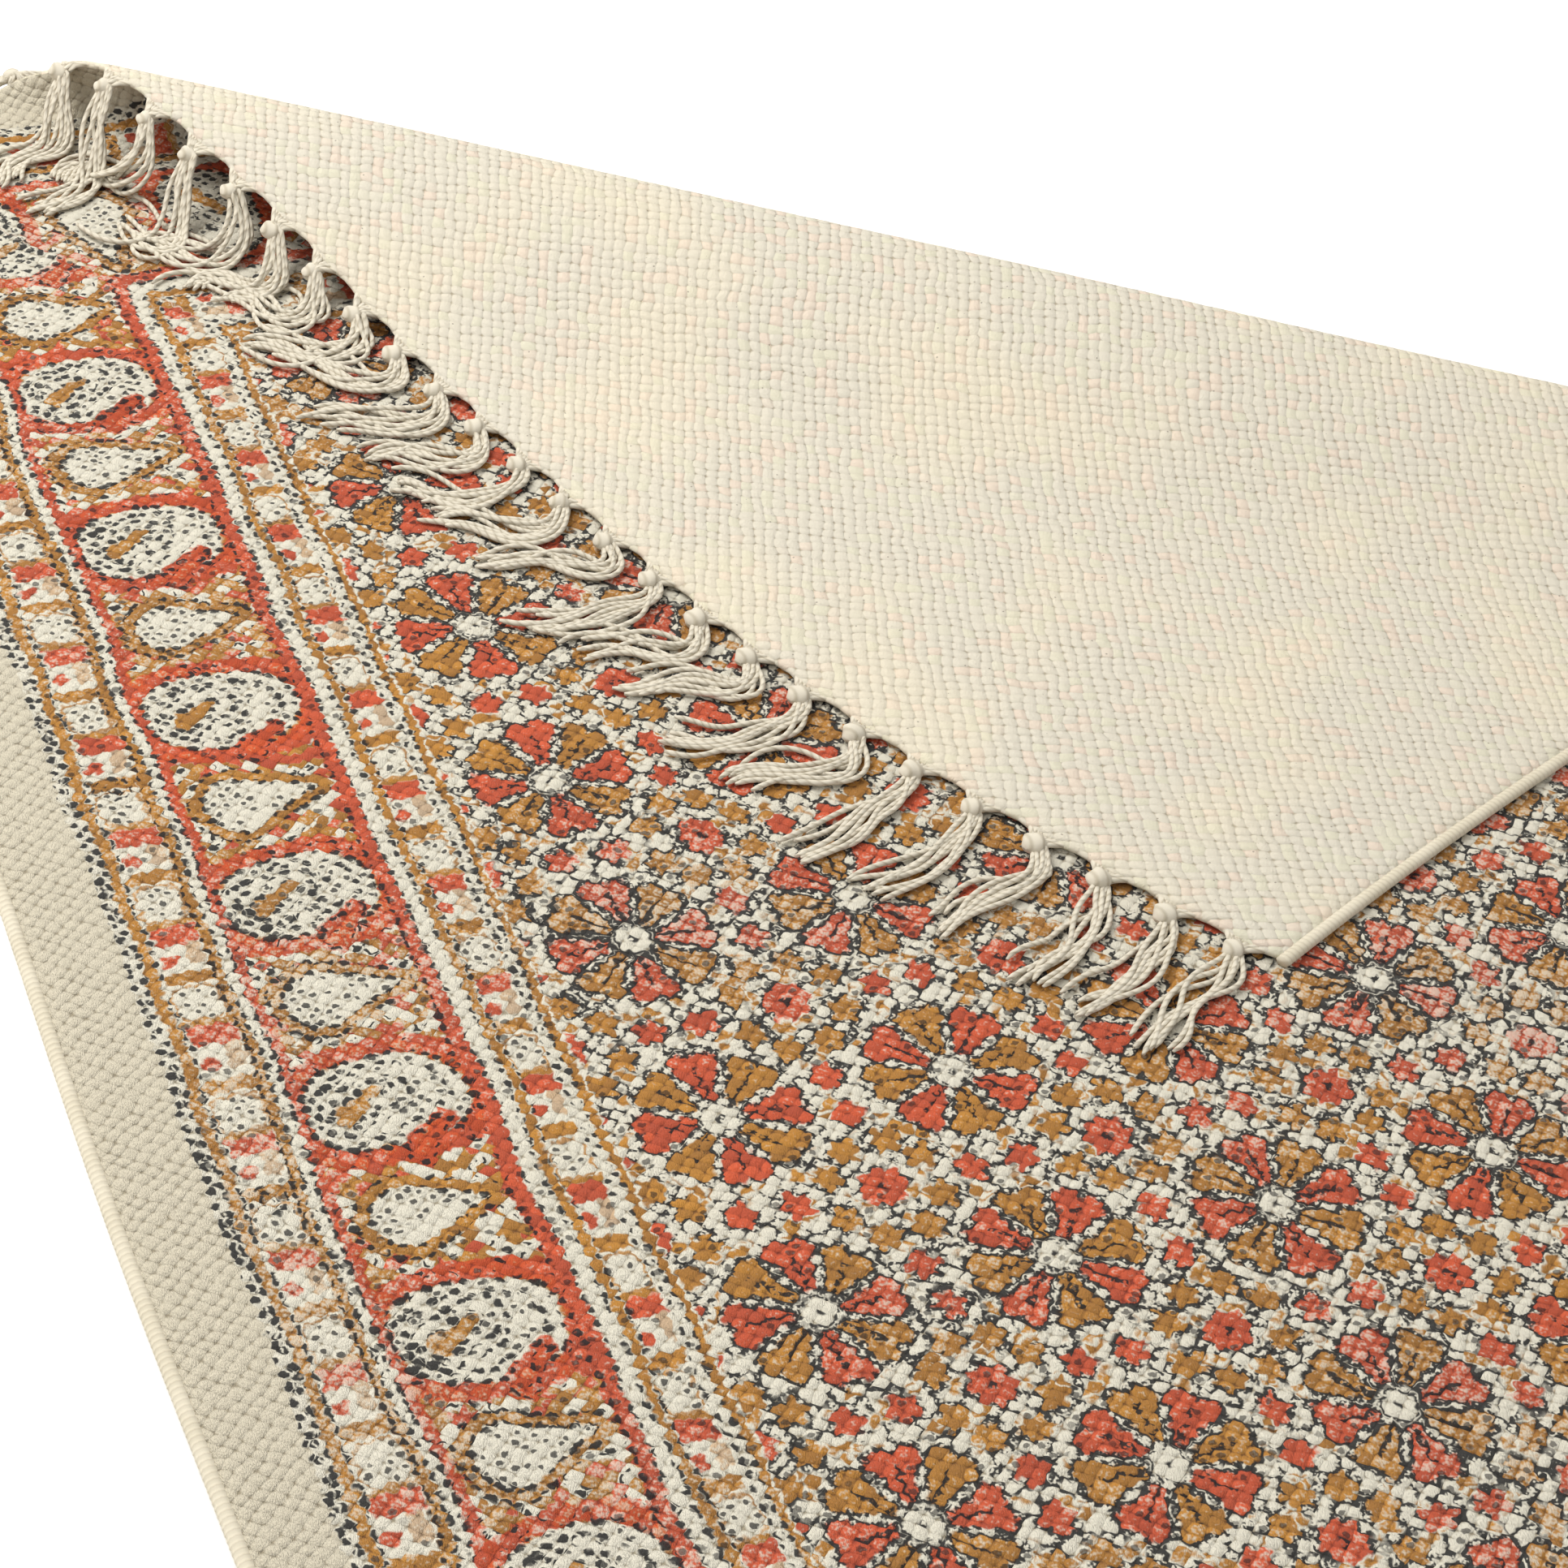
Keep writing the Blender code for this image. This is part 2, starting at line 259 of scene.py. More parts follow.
class Reading:
    """A number that a material's nodes work out at each point; arithmetic on it adds nodes."""

    def __init__(self, tree, socket):
        self.tree = tree
        self.socket = socket

    def math(self, operation, *others):
        """The result of one of the math node's operations on this and others."""
        node = self.tree.nodes.new("ShaderNodeMath")
        node.operation = operation
        for slot, item in zip(node.inputs, (self, *others)):
            if isinstance(item, Reading):
                self.tree.links.new(item.socket, slot)
            else:
                slot.default_value = item
        return Reading(self.tree, node.outputs[0])

    def __add__(self, other):
        return self.math("ADD", other)

    def __sub__(self, other):
        return self.math("SUBTRACT", other)

    def __rsub__(self, other):
        node = self.tree.nodes.new("ShaderNodeMath")
        node.operation = "SUBTRACT"
        node.inputs[0].default_value = other
        self.tree.links.new(self.socket, node.inputs[1])
        return Reading(self.tree, node.outputs[0])

    def __mul__(self, other):
        return self.math("MULTIPLY", other)

    def __truediv__(self, other):
        return self.math("DIVIDE", other)

    def size(self):
        """The number without its sign."""
        return self.math("ABSOLUTE")

    def least(self, other):
        return self.math("MINIMUM", other)

    def most(self, other):
        return self.math("MAXIMUM", other)

    def within(self, period):
        """The remainder after whole periods, counted from 0."""
        return self.math("FLOORED_MODULO", period)

    def whole(self):
        return self.math("FLOOR")

    def passing(self, limit, softness, before, after):
        """One value before the limit and another after it, with a soft change."""
        measured, place = self, limit
        if isinstance(limit, Reading):
            measured, place = self - limit, 0.0
        node = self.tree.nodes.new("ShaderNodeMapRange")
        node.interpolation_type = "SMOOTHSTEP"
        self.tree.links.new(measured.socket, node.inputs["Value"])
        node.inputs["From Min"].default_value = place - softness
        node.inputs["From Max"].default_value = place + softness
        node.inputs["To Min"].default_value = before
        node.inputs["To Max"].default_value = after
        return Reading(self.tree, node.outputs["Result"])

    def below(self, limit, softness=0.5):
        """1 where this is under the limit and 0 over it, with a soft edge."""
        return self.passing(limit, softness, 1.0, 0.0)

    def above(self, limit, softness=0.5):
        """1 where this is over the limit and 0 under it, with a soft edge."""
        return self.passing(limit, softness, 0.0, 1.0)

    def line(self, place, half_width, softness=0.4):
        """1 on a line at this place, 0 away from it."""
        return (self - place).size().below(half_width, softness)


def reach_of(x, y):
    """Distance of a place from the origin."""
    return y.math("MULTIPLY_ADD", y, x * x).math("SQRT")


def joined(x, y):
    """Two readings as one vector for a texture node."""
    node = x.tree.nodes.new("ShaderNodeCombineXYZ")
    for slot, item in zip(node.inputs, (x, y)):
        x.tree.links.new(item.socket, slot)
    return node.outputs[0]


def cloudy(x, y, size, detail=0.0):
    """Soft random patches about as large as size, from -1 to 1."""
    node = x.tree.nodes.new("ShaderNodeTexNoise")
    node.noise_dimensions = "2D"
    node.inputs["Scale"].default_value = 1.0 / size
    node.inputs["Detail"].default_value = detail
    x.tree.links.new(joined(x, y), node.inputs["Vector"])
    return Reading(x.tree, node.outputs["Fac"]).math("MULTIPLY_ADD", 2.0, -1.0)


def chance(x, y):
    """A random number from 0 to 1 for each pair of whole numbers."""
    node = x.tree.nodes.new("ShaderNodeTexWhiteNoise")
    node.noise_dimensions = "2D"
    x.tree.links.new(joined(x, y), node.inputs["Vector"])
    return Reading(x.tree, node.outputs["Value"])


def blend_colour(tree, share, under, over):
    """One colour over another, as much as share says; colours are sockets or light values."""
    node = tree.nodes.new("ShaderNodeMix")
    node.data_type = "RGBA"
    factor, first, second = (node.inputs[k] for k in (0, 6, 7))
    tree.links.new(share.socket, factor)
    for slot, item in ((first, under), (second, over)):
        if isinstance(item, tuple):
            slot.default_value = (*item, 1.0)
        else:
            tree.links.new(item, slot)
    return node.outputs[2]


def cloth_places(tree):
    """u and v in millimetres, as readings."""
    node = tree.nodes.new("ShaderNodeAttribute")
    node.attribute_name = "cloth"
    parts = tree.nodes.new("ShaderNodeSeparateXYZ")
    tree.links.new(node.outputs["Vector"], parts.inputs[0])
    return Reading(tree, parts.outputs[0]) * 1000.0, Reading(tree, parts.outputs[1]) * 1000.0


# The weave, in millimetres: the yarns' pitch, and how far and over what lengths they wander. Where
# one noise is read twice, a number is added so that the second reading is from another place in it.
WARP_PITCH, WEFT_PITCH = 3.72, 3.18
YARN_WANDER = 1.3
WARP_WANDER_SIZE, WEFT_WANDER_SIZE = 13.0, 10.0
CREST_JITTER = 0.17
CREST_ROUND, CREST_ROUND_CHANCE = 1.6, 0.7


def crossings(u, v):
    """Places counted in crests along the two slants of the plain weave, as its yarns wander."""
    x = (u + cloudy(u, v, WARP_WANDER_SIZE) * YARN_WANDER) / WARP_PITCH
    y = (v + cloudy(v + 400.0, u, WEFT_WANDER_SIZE) * YARN_WANDER) / WEFT_PITCH
    return (x - y) * 0.5, (x + y) * 0.5


def nearest_cell(falling, rising, jitter):
    """Way to the nearest of a jittered grid of points, its length, and a random number a point."""
    tree = falling.tree
    node = tree.nodes.new("ShaderNodeTexVoronoi")
    node.voronoi_dimensions = "2D"
    node.inputs["Scale"].default_value = 1.0
    node.inputs["Randomness"].default_value = jitter
    tree.links.new(joined(falling, rising), node.inputs["Vector"])
    point = tree.nodes.new("ShaderNodeSeparateXYZ")
    tree.links.new(node.outputs["Position"], point.inputs[0])
    colour = tree.nodes.new("ShaderNodeSeparateColor")
    tree.links.new(node.outputs["Color"], colour.inputs[0])
    way = (falling - Reading(tree, point.outputs[0]), rising - Reading(tree, point.outputs[1]))
    return way, Reading(tree, node.outputs["Distance"]), Reading(tree, colour.outputs[0])


def weave(falling, rising):
    """The plain weave's height from 0 to 1, a random number a crest, and how far its middle is."""
    (from_side, from_end), from_crest, crest_chance = nearest_cell(falling, rising, CREST_JITTER)
    dome = 1.0 - from_crest * from_crest * (crest_chance * CREST_ROUND_CHANCE + CREST_ROUND)
    off_u = (from_end + from_side) * WARP_PITCH
    off_v = (from_end - from_side) * WEFT_PITCH
    return dome.most(0.0), crest_chance, off_u, off_v


def relief(tree, shader, height, depth):
    """A fine relief of the given depth in metres on a material."""
    node = tree.nodes.new("ShaderNodeBump")
    node.inputs["Distance"].default_value = depth
    node.inputs["Strength"].default_value = 1.0
    tree.links.new(height.socket, node.inputs["Height"])
    tree.links.new(node.outputs[0], shader.inputs["Normal"])


# The plain back: cream crests over gaps painted darker as shade, some a little pink or green, warmer
# in soft patches, with a few dark husks in the yarn and loose fibres all over.
COTTON_ROUGHNESS = 0.92
CREAM = linear(216, 209, 192)
# Painted shade: the colour of the gaps between the crests.
CREAM_PAINTED_SHADE = linear(172, 160, 137)
CREAM_PINK = linear(226, 205, 186)
CREAM_GREEN = linear(216, 212, 186)
CREAM_WARM = linear(236, 222, 190)
TINT_SHARE, WARM_SHARE, HUSK_SHARE = 0.6, 0.30, 0.6
WARM_SIZE, HUSK_SIZE, FIBRE_SIZE = 90.0, 1.9, 1.1
HUSK = linear(120, 108, 92)
BACK_FIBRES = 0.20
BACK_RELIEF = 0.0012

plain_cotton, plain_shader = principled("plain_cotton", CREAM, COTTON_ROUGHNESS)
tree = plain_cotton.node_tree
u, v = cloth_places(tree)
dome, crest_chance, _, _ = weave(*crossings(u, v))
# Painted shade: the gaps between the crests, where the dome is low, take the shaded cream.
colour = blend_colour(tree, dome.above(0.26, 0.24), CREAM_PAINTED_SHADE, CREAM)
colour = blend_colour(tree, crest_chance.above(0.86, 0.06) * TINT_SHARE, colour, CREAM_PINK)
colour = blend_colour(tree, crest_chance.below(0.14, 0.06) * TINT_SHARE, colour, CREAM_GREEN)
warm = cloudy(u, v, WARM_SIZE, 1.0).above(0.12, 0.3)
colour = blend_colour(tree, warm * WARM_SHARE, colour, CREAM_WARM)
husk = cloudy(u, v, HUSK_SIZE).above(0.84, 0.05)
colour = blend_colour(tree, husk * HUSK_SHARE, colour, HUSK)
tree.links.new(colour, plain_shader.inputs["Base Color"])
fibre = cloudy(u * 3.0, v, FIBRE_SIZE, 1.0)
relief(tree, plain_shader, dome + fibre * BACK_FIBRES, BACK_RELIEF)


# The print: mustard, rust and black block-printed in that order on the cream face. Distances are in
# millimetres on the flat cloth: in from the nearest edge, and along the border or in a flower's cell.
FACE = linear(209, 200, 178)
FACE_WHITE = linear(223, 217, 199)
# Painted shade: the cream that the pits between the crests take.
FACE_PAINTED_SHADE = linear(160, 149, 126)
MUSTARD = linear(196, 134, 42)
# A darker mustard: painted shade in the pits between the crests, and the deeper tone of some crests at
# random.
MUSTARD_DEEP_AND_SHADE = linear(120, 76, 28)
RUST = linear(216, 86, 42)
# A darker rust: painted shade in the pits between the crests, and the deeper tone of some crests at
# random.
RUST_DEEP_AND_SHADE = linear(142, 50, 28)
BLACK = linear(22, 22, 24)
PRINT_EDGE = 30.8
CARTOUCHE_REPEAT = 53.8
# The blocks are set by hand: each length of the border slips a little, and the whole print wavers
# slowly and frays finely. Each crest takes the print of its own middle, so much of the way.
BLOCK_LENGTH = CARTOUCHE_REPEAT * 4
BLOCK_SLIP = 1.2
WAVER, WAVER_SIZE = 2.6, 45.0
FRAY, FRAY_SIZE = 1.3, 3.4
CREST_HOLD = 0.28
# At the ends the border starts nearer the edge than at the sides, and is wider.
END_SHRINK, END_SHIFT = 0.81, 8.3

printed_cotton, face_shader = principled("printed_cotton", FACE, COTTON_ROUGHNESS)
tree = printed_cotton.node_tree
true_u, true_v = cloth_places(tree)
falling, rising = crossings(true_u, true_v)
dome, crest_chance, off_u, off_v = weave(falling, rising)
pick = (crest_chance * 23.0).within(1.0)
block = (true_v / BLOCK_LENGTH).whole()
slip = chance(block, block + 7.0) * (2 * BLOCK_SLIP) - BLOCK_SLIP
u = true_u + cloudy(true_u, true_v, WAVER_SIZE) * WAVER + slip
v = true_v + cloudy(true_v + 300.0, true_u, WAVER_SIZE) * WAVER
u = u + cloudy(true_u, true_v, FRAY_SIZE) * FRAY - off_u * CREST_HOLD
v = v + cloudy(true_v, true_u + 90.0, FRAY_SIZE) * FRAY - off_v * CREST_HOLD
in_side = u.least(1000.0 * WIDTH - u)
in_end = v.least(1000.0 * LENGTH - v) * END_SHRINK + END_SHIFT
at_side = (in_side - in_end).below(0.0, 0.3)
inward = in_side.least(in_end)
run = u + at_side * (v - u)


def any_of(*masks):
    """One mask that holds wherever any of these does."""
    held = masks[0]
    for mask in masks[1:]:
        held = held.most(mask)
    return held


def in_order(run, start, repeat):
    """Signed distance from the nearest of a row of motifs."""
    return (run - (start - repeat / 2)).within(repeat) - repeat / 2


# Straight lines along the border: how far in, half width.
MUSTARD_LINES = ((39.0, 2.0), (62.2, 2.1), (148.3, 1.6), (171.8, 1.6))
RUST_LINES = ((71.4, 2.2), (135.6, 3.4))
BLACK_LINES = (
    (32.3, 1.5), (35.8, 1.3), (42.0, 0.9), (61.0, 0.9), (65.0, 0.9), (69.0, 0.9),
    (133.2, 0.9), (139.6, 0.9), (145.8, 0.9), (151.0, 0.9), (166.2, 0.9), (169.8, 0.9),
)
lines_mustard, lines_rust, lines_black = (
    any_of(*(inward.line(place, half) for place, half in rows))
    for rows in (MUSTARD_LINES, RUST_LINES, BLACK_LINES)
)

# A row of rounded white cartouches runs along each side of the wide band. The marks between two of
# them are counted down from a cartouche's middle: how far, half length, half width.
OUTER_ROW, OUTER_ROW_HALF = 51.5, 9.0
INNER_ROW, INNER_ROW_HALF, INNER_ROW_FINENESS = 157.5, 7.6, 1.25
CARTOUCHE_START = 1007.0
CARTOUCHE_HALF_ACROSS, CARTOUCHE_HALF_ALONG = 8.0, 8.8
CARTOUCHE_SQUARENESS = 4.0
RUST_BAR = (16.5, 4.6, 8.2)
MUSTARD_PATCH = (40.0, 3.2, 8.6)
MUSTARD_BAR = (10.6, 1.3, 8.6)
# Beside the middle of the row, down, then radius or half sizes.
RUST_DOT = (-5.0, 29.5, 3.3)
MUSTARD_SMEAR = (4.5, 27.0, 3.0, 6.0)
SMEAR_INK, RING_INK = 0.6, 0.9


def cartouches(across, run):
    """A row's white, its rust marks, and its mustard rings and marks, as three masks."""
    down = (CARTOUCHE_START - run).within(CARTOUCHE_REPEAT)
    from_middle = down - down.above(CARTOUCHE_REPEAT / 2, 0.01) * CARTOUCHE_REPEAT
    box = (across / CARTOUCHE_HALF_ACROSS).math("POWER", CARTOUCHE_SQUARENESS)
    box = box + (from_middle / CARTOUCHE_HALF_ALONG).math("POWER", CARTOUCHE_SQUARENESS)
    white = box.below(1.0, 0.25)
    ring = box.line(1.15, 0.28, 0.2)
    bar, patch, thin = (
        down.line(place, half_length) * across.size().below(half_width)
        for place, half_length, half_width in (RUST_BAR, MUSTARD_PATCH, MUSTARD_BAR)
    )
    dot = reach_of(across - RUST_DOT[0], down - RUST_DOT[1]).below(RUST_DOT[2])
    aside, place, half_width, half_length = MUSTARD_SMEAR
    smear = down.line(place, half_length) * across.line(aside, half_width) * SMEAR_INK
    return white, bar.most(dot), any_of(patch, thin, smear, ring * RING_INK)


outer_white, outer_rust, outer_mustard = cartouches(inward - OUTER_ROW, run)
inner_white, inner_rust, inner_mustard = cartouches((inward - INNER_ROW) * INNER_ROW_FINENESS, run)
in_outer = inward.line(OUTER_ROW, OUTER_ROW_HALF)
in_inner = inward.line(INNER_ROW, INNER_ROW_HALF)

# Where one length of the block meets the next, a curled leaf fills the outer row.
CURL_START, CURL_MIDDLE, CURL_RADIUS = 1018.0, 51.0, 6.0
curl = reach_of(inward - CURL_MIDDLE, in_order(run, CURL_START, BLOCK_LENGTH))
curl_black = curl.line(6.4, 0.8).most(curl.line(2.6, 0.8))
curl_white = curl.below(CURL_RADIUS)

# The wide band: a speckled teardrop and a speckled paisley by turns, on a waving rust ground. A pod is
# given by its foot, its head and the radius of each. Lines are drawn so far out from an outline.
BAND_MIDDLE, BAND_HALF = 102.5, 30.5
PAISLEY_REPEAT = 107.6
TEARDROP_START, PAISLEY_START = 890.5, 944.3
TEARDROP = ((95.0, 0.0), (124.5, 3.0), 14.2, 0.5)
PAISLEY_MIDDLE, PAISLEY_HALF_ACROSS, PAISLEY_HALF_ALONG = 102.0, 29.0, 21.0
PAISLEY_ROUNDNESS = 2.6
PAISLEY_LEAF = ((8.0, -24.0), (17.0, -13.0), 7.5, 3.5)
PAISLEY_EYE = ((-14.0, -3.5), (-2.0, 5.0), 5.0, 2.5)
CLUMP_SIZE, CLUMP_SHARE = 9.0, 0.6


def uneven_pod(x, y, pod):
    """Distance outside a pod that narrows from a round foot to its head."""
    foot, head, foot_round, head_round = pod
    share = ((x - foot[0]) / (head[0] - foot[0])).most(0.0).least(1.0)
    to_x = x - share * (head[0] - foot[0]) - foot[0]
    to_y = y - share * (head[1] - foot[1]) - foot[1]
    return reach_of(to_x, to_y) - foot_round + share * (foot_round - head_round)


band = inward.line(BAND_MIDDLE, BAND_HALF, 0.6)
teardrop = uneven_pod(inward, in_order(run, TEARDROP_START, PAISLEY_REPEAT), TEARDROP)
teardrop_white = teardrop.below(0.0)
teardrop_edge = teardrop.line(2.8, 2.6)
fig_along = in_order(run, PAISLEY_START, PAISLEY_REPEAT)
fig_across = inward - PAISLEY_MIDDLE
paisley = (fig_across / PAISLEY_HALF_ACROSS).size().math("POWER", PAISLEY_ROUNDNESS)
paisley = paisley + (fig_along / PAISLEY_HALF_ALONG).size().math("POWER", PAISLEY_ROUNDNESS)
paisley = (paisley.math("POWER", 1.0 / PAISLEY_ROUNDNESS) - 1.0) * PAISLEY_HALF_ALONG
leaf = uneven_pod(fig_across, fig_along, PAISLEY_LEAF)
paisley = paisley.most(leaf * -1.0)
paisley_white = paisley.below(0.0)
eye = uneven_pod(fig_across, fig_along, PAISLEY_EYE)
wave_rust = paisley.line(4.5, 4.0).most(leaf.below(1.5) * leaf.above(-3.0))
wave_rust = wave_rust * (1.0 - teardrop_white) * (1.0 - teardrop_edge)
ground = (1.0 - teardrop_white.most(paisley_white)) * teardrop.above(5.0)
clump = (crest_chance * 41.0).within(1.0) + cloudy(u, v + 55.0, CLUMP_SIZE) * CLUMP_SHARE
band_rust = wave_rust.most(clump.below(0.20, 0.02) * ground) * band
band_mustard = any_of(
    teardrop_edge,
    eye.below(0.0),
    leaf.below(-2.5),
    clump.line(0.42, 0.22, 0.02) * ground,
) * band
band_black = any_of(
    teardrop.line(0.2, 1.1),
    teardrop.line(5.6, 1.0),
    paisley.line(0.3, 1.1),
    paisley.line(-4.5, 1.0),
    eye.line(1.0, 1.2),
    eye.line(6.0, 1.1) * paisley_white,
    eye.line(10.5, 1.0) * paisley_white,
    leaf.line(0.0, 0.8),
    clump.line(0.86, 0.05, 0.01) * ground,
) * band

# The field: eight-petalled flowers in rows, with small florets, stars and rosettes between them, and
# an outlined pebble ground. Small flowers: place from a corner of the cell, radius, leaves, scallops.
FIELD_EDGE = 174.5
FLOWER_ACROSS, FLOWER_ALONG = 90.0, 93.6
FLOWER_START_ACROSS, FLOWER_START_ALONG = 215.4, 890.2
PETAL_ANGLE = 2 * math.pi / 8
PETAL_FOOT, PETAL_TIP, PETAL_SLOPE, PETAL_POINT = 9.0, 27.3, 0.355, 3.0
LOBE_ASIDE, LOBE_RADIUS = 4.4, 5.3
FLOWER_RADIUS = 33.5
RUST_FLORETS = (((0.0, 36.8), 5.8, 5, 1.2), ((35.0, 0.0), 5.8, 5, 1.2))
ROSETTE = ((0.0, 0.0), 9.0, 8, 0.9)
STARS = (((19.0, 9.5), 5.7, 5, 1.2), ((8.0, 20.5), 5.7, 6, 1.0))
PEBBLE_SIZE, PEBBLE_CHANCE = 10.4, 0.62
SKIP_SIZE = 9.0

in_field = inward.above(FIELD_EDGE, 0.5)
column = ((u - FLOWER_START_ACROSS) / FLOWER_ACROSS + 0.5).whole()
x = in_order(u, FLOWER_START_ACROSS, FLOWER_ACROSS)
y = in_order(v, FLOWER_START_ALONG, FLOWER_ALONG)
reach = reach_of(x, y)
turn_share = y.math("ARCTAN2", x) / PETAL_ANGLE
petal = (turn_share + 0.5).whole()
aside = (turn_share - petal) * PETAL_ANGLE
along_petal = reach * aside.math("COSINE")
side_petal = (reach * aside.math("SINE")).size()
lobes = reach_of(along_petal - PETAL_TIP, side_petal - LOBE_ASIDE) - LOBE_RADIUS
wedge = (side_petal - (along_petal - PETAL_POINT) * PETAL_SLOPE).most(along_petal - PETAL_TIP)
petals = wedge.least(lobes).most(PETAL_FOOT - along_petal)
petal_inside = petals.below(0.0)
rust_petal = (petal + column).within(2.0).below(0.5, 0.1)
corner_x = FLOWER_ACROSS / 2 - x.size()
corner_y = FLOWER_ALONG / 2 - y.size()


def floret(place, radius, leaves, depth):
    """Distance outside a small flower of so many leaves, at a place in a quarter of the cell."""
    to_x, to_y = corner_x - place[0], corner_y - place[1]
    scallop = (to_y.math("ARCTAN2", to_x) * float(leaves)).math("COSINE") * depth
    return reach_of(to_x, to_y) - radius - scallop


rust_florets = floret(*RUST_FLORETS[0]).least(floret(*RUST_FLORETS[1]))
rosette = floret(*ROSETTE)
stars = floret(*STARS[0]).least(floret(*STARS[1]))
florets = rust_florets.least(rosette).least(stars)

pebbles = tree.nodes.new("ShaderNodeTexVoronoi")
pebbles.voronoi_dimensions = "2D"
pebbles.feature = "DISTANCE_TO_EDGE"
pebbles.inputs["Scale"].default_value = 1.0 / PEBBLE_SIZE
pebbles.inputs["Randomness"].default_value = PEBBLE_CHANCE
tree.links.new(joined(u, v), pebbles.inputs["Vector"])
pebble_edge = Reading(tree, pebbles.outputs["Distance"]) * PEBBLE_SIZE
between = reach.above(FLOWER_RADIUS) * florets.above(0.8)
skipped = cloudy(u, v + 700.0, SKIP_SIZE)
mustard_pebbles = skipped.below(-0.30, 0.08) * pebble_edge.above(0.7) * between

field_rust = any_of(petal_inside * rust_petal, rust_florets.below(0.0), rosette.below(0.0)) * in_field
field_mustard = any_of(petal_inside * (1.0 - rust_petal), stars.below(0.0), mustard_pebbles) * in_field
field_black = any_of(
    petals.line(0.5, 1.1, 0.3) * reach.above(8.0),
    side_petal.below(1.0, 0.3) * along_petal.line(17.5, 8.0),
    reach.line(7.0, 0.6),
    reach.below(1.5),
    florets.line(0.6, 1.0, 0.3) * skipped.above(-0.2, 0.15),
    pebble_edge.below(0.95, 0.3) * between * skipped.above(-0.22, 0.15),
    reach_of(corner_x, corner_y).below(2.2),
) * in_field

# How the ink sits on the weave. The colours wear off the tops of the crests, the border's black stays
# as dots in the pits between them, and the field's black runs in lines that break over the crests.
PIT_JITTER, PIT_OFFSET = 0.55, 0.35
FADING_SIZE, GRAIN_SIZE, GRAIN = 120.0, 1.3, 0.66
FULL_INK, MOST_WORN, BLACK_INK = 0.97, 0.62, 0.96
SPECKLE_INK, FLECK_INK, CURL_PALE = 0.9, 0.75, 0.5
FACE_FIBRES = 0.28
FACE_RELIEF = 0.0014

fading = cloudy(true_u, true_v, FADING_SIZE)
grain = cloudy(true_u, true_v, GRAIN_SIZE) * GRAIN
worn = (dome * 0.7 + grain * 0.7 + pick * 0.45 + fading * 0.5).above(1.04, 0.30)
colour_ink = FULL_INK - worn * MOST_WORN
_, from_pit, pit_chance = nearest_cell(falling + PIT_OFFSET, rising + PIT_OFFSET, PIT_JITTER)
from_pit = from_pit - grain * 0.16
dot_ink = (from_pit - pit_chance * 0.16 - fading * 0.08).below(0.31, 0.06)
line_ink = (dome - grain * 0.55 - fading * 0.2 - pick * 0.30).below(0.74, 0.12)
pit = (from_pit - pit_chance * 0.16).below(0.13, 0.05)
speckle = (pit_chance + fading * 0.3).above(0.36, 0.02) * pit
fleck = pit_chance.above(0.87, 0.01) * pit

printed = inward.above(PRINT_EDGE, 0.4)
whites = any_of(
    (teardrop_white + paisley_white * (1.0 - eye.below(2.0))).least(1.0) * band,
    outer_white * in_outer,
    inner_white * in_inner,
    curl_white * CURL_PALE,
)
rows_rust = (outer_rust * in_outer).most(inner_rust * in_inner) * (1.0 - curl_white)
mustard = any_of(lines_mustard, outer_mustard * in_outer, inner_mustard * in_inner)
mustard = any_of(mustard, band_mustard, field_mustard)
rust = any_of(lines_rust, rows_rust, band_rust, field_rust)
black = any_of(lines_black, band_black, curl_black) * dot_ink
black = any_of(black, field_black * line_ink, speckle * whites * SPECKLE_INK, fleck * FLECK_INK)
# Painted shade: the pits between the crests take the shaded cream and the darker inks; on the crests the
# darker inks also come at random, as the ink's own tone.
painted_lit_crest = dome.above(0.30, 0.3)
painted_lit_ink_and_tone = painted_lit_crest * (pick * 0.6 + 0.4)
mustard_ink_painted_shade = blend_colour(tree, painted_lit_ink_and_tone, MUSTARD_DEEP_AND_SHADE, MUSTARD)
rust_ink_painted_shade = blend_colour(tree, painted_lit_ink_and_tone, RUST_DEEP_AND_SHADE, RUST)
colour = blend_colour(tree, printed, FACE, FACE_WHITE)
colour = blend_colour(tree, painted_lit_crest, FACE_PAINTED_SHADE, colour)
colour = blend_colour(tree, mustard * colour_ink * printed, colour, mustard_ink_painted_shade)
colour = blend_colour(tree, rust * colour_ink * printed, colour, rust_ink_painted_shade)
colour = blend_colour(tree, black * printed * BLACK_INK, colour, BLACK)
tree.links.new(colour, face_shader.inputs["Base Color"])
fibre = cloudy(true_u * 3.0, true_v, FIBRE_SIZE, 1.0)
relief(tree, face_shader, dome + fibre * FACE_FIBRES, FACE_RELIEF)

# The sheet: a grid of points on each side, and a ring around the edge that bulges out a little. Each
# point keeps its place on the flat cloth, which the weave and the print follow.
across_steps = np.linspace(0.0, WIDTH, CELLS_ACROSS + 1)
along_steps = np.linspace(0.0, LENGTH, CELLS_ALONG + 1)
grid_u, grid_v = (part.ravel() for part in np.meshgrid(across_steps, along_steps))
drawn_v = grid_v + end_pull(grid_u, grid_v)
columns, rows = CELLS_ACROSS + 1, CELLS_ALONG + 1
on_rim = (grid_u == 0) | (grid_u == WIDTH) | (grid_v == 0) | (grid_v == LENGTH)
half = np.where(on_rim, RIM_THINNING, 1.0) * THICKNESS / 2
upper = swell(fold(grid_u, drawn_v, half))
lower = swell(fold(grid_u, drawn_v, -half))
near_row = np.arange(columns)
right_side = np.arange(1, rows) * columns + columns - 1
far_row = (rows - 1) * columns + np.arange(columns - 2, -1, -1)
left_side = np.arange(rows - 2, 0, -1) * columns
rim = np.concatenate([near_row, right_side, far_row, left_side])
